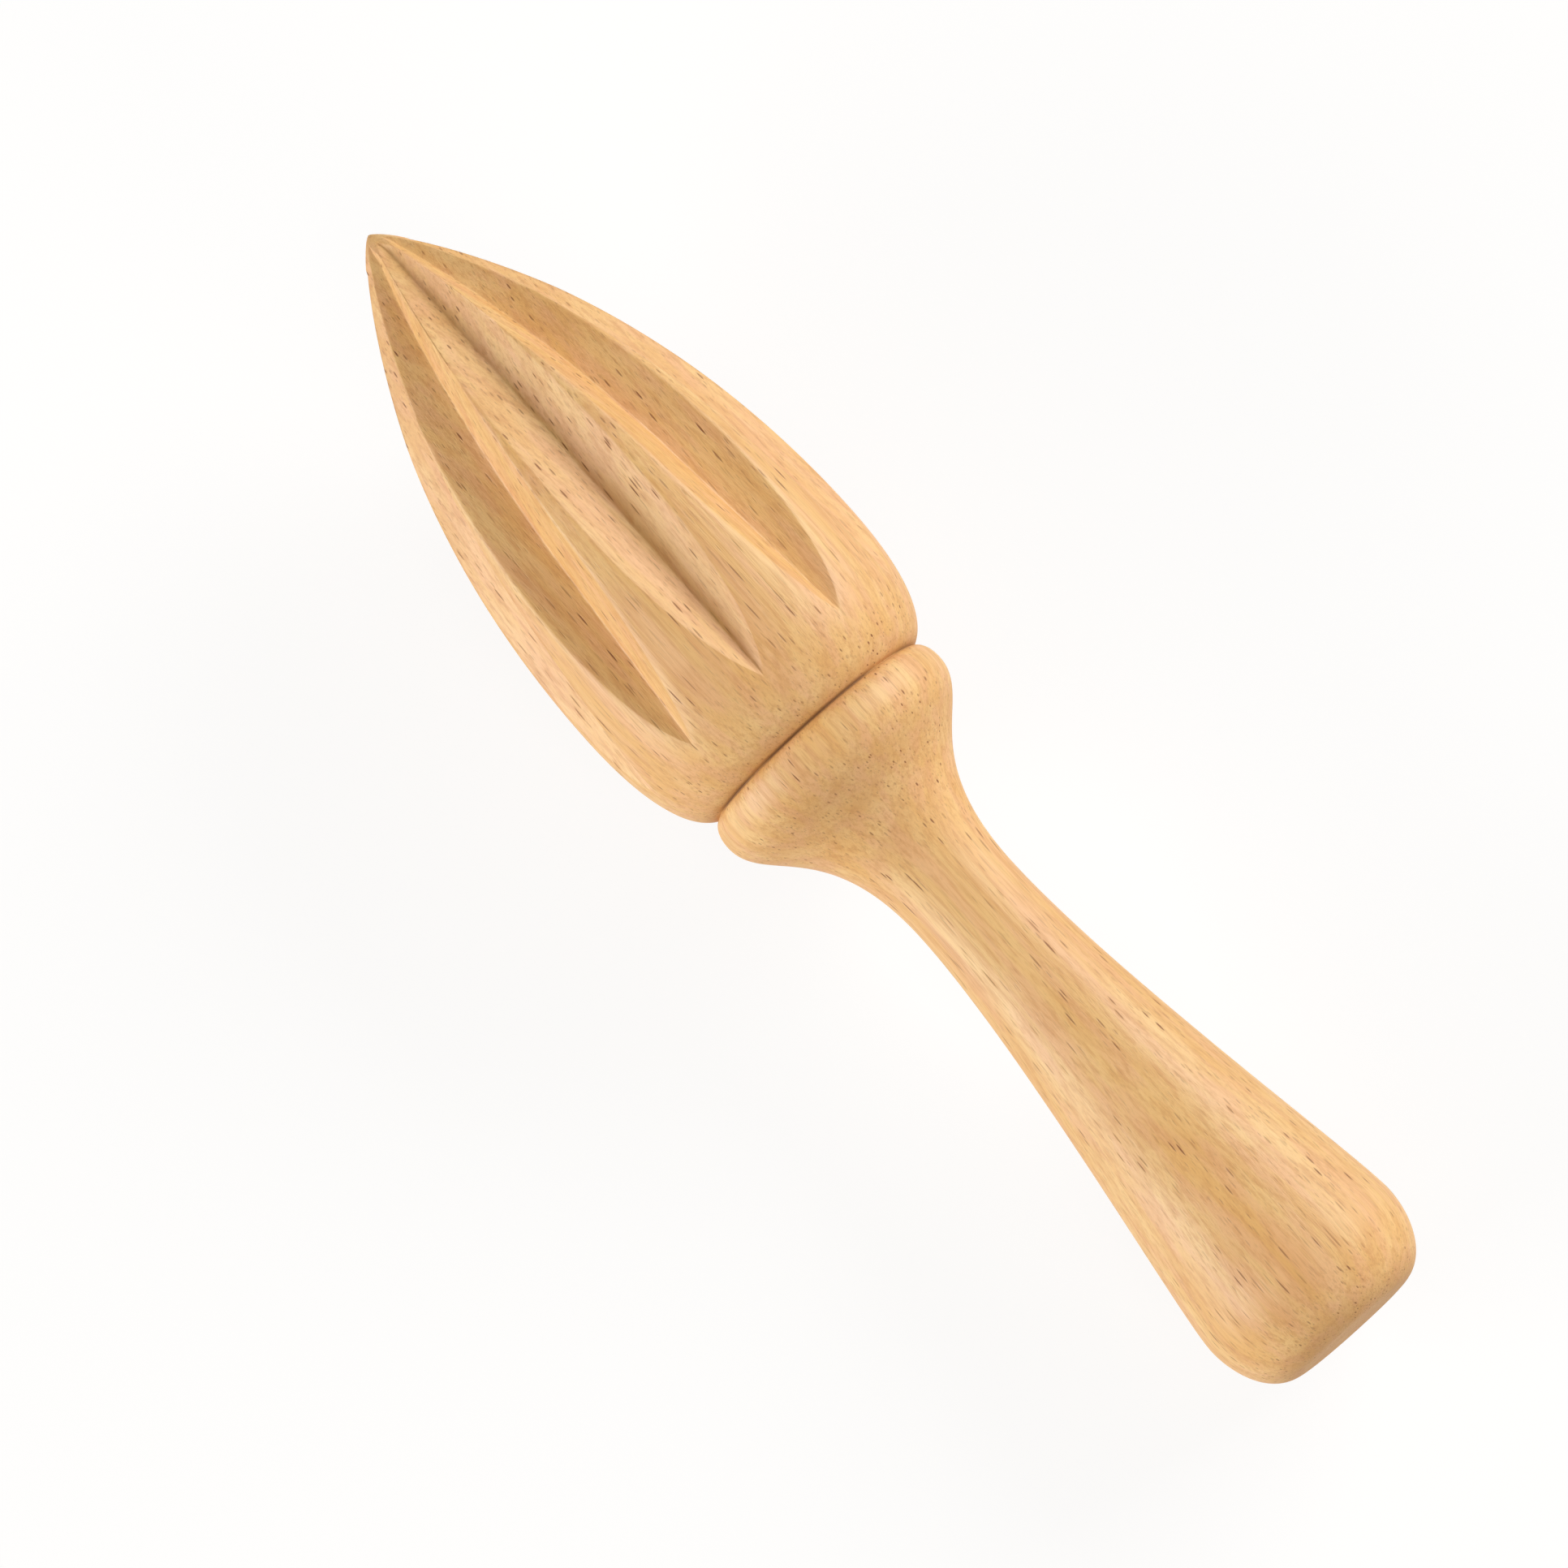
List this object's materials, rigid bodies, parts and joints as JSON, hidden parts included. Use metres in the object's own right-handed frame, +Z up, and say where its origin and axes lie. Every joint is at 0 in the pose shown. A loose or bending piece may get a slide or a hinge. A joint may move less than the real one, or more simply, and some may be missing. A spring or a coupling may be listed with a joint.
{
  "type": "citrus reamer",
  "caption": "Turned wooden citrus reamer: a pointed fluted head, a grooved collar, a slim waisted handle and a rounded butt, lying on its side.",
  "frame": {"origin": "middle of the footprint at the surface that the reamer lies on", "axes": "+X from the pointed tip towards the butt, +Z up; the turned axis leans down towards the butt by 3.77 degrees, because the head is thicker than the butt"},
  "size_m": [0.1602, 0.0382, 0.0381],
  "materials": {
    "beech": "satin"
  },
  "bodies": {
    "root": {"reamer": "beech"}
  },
  "joints": []
}
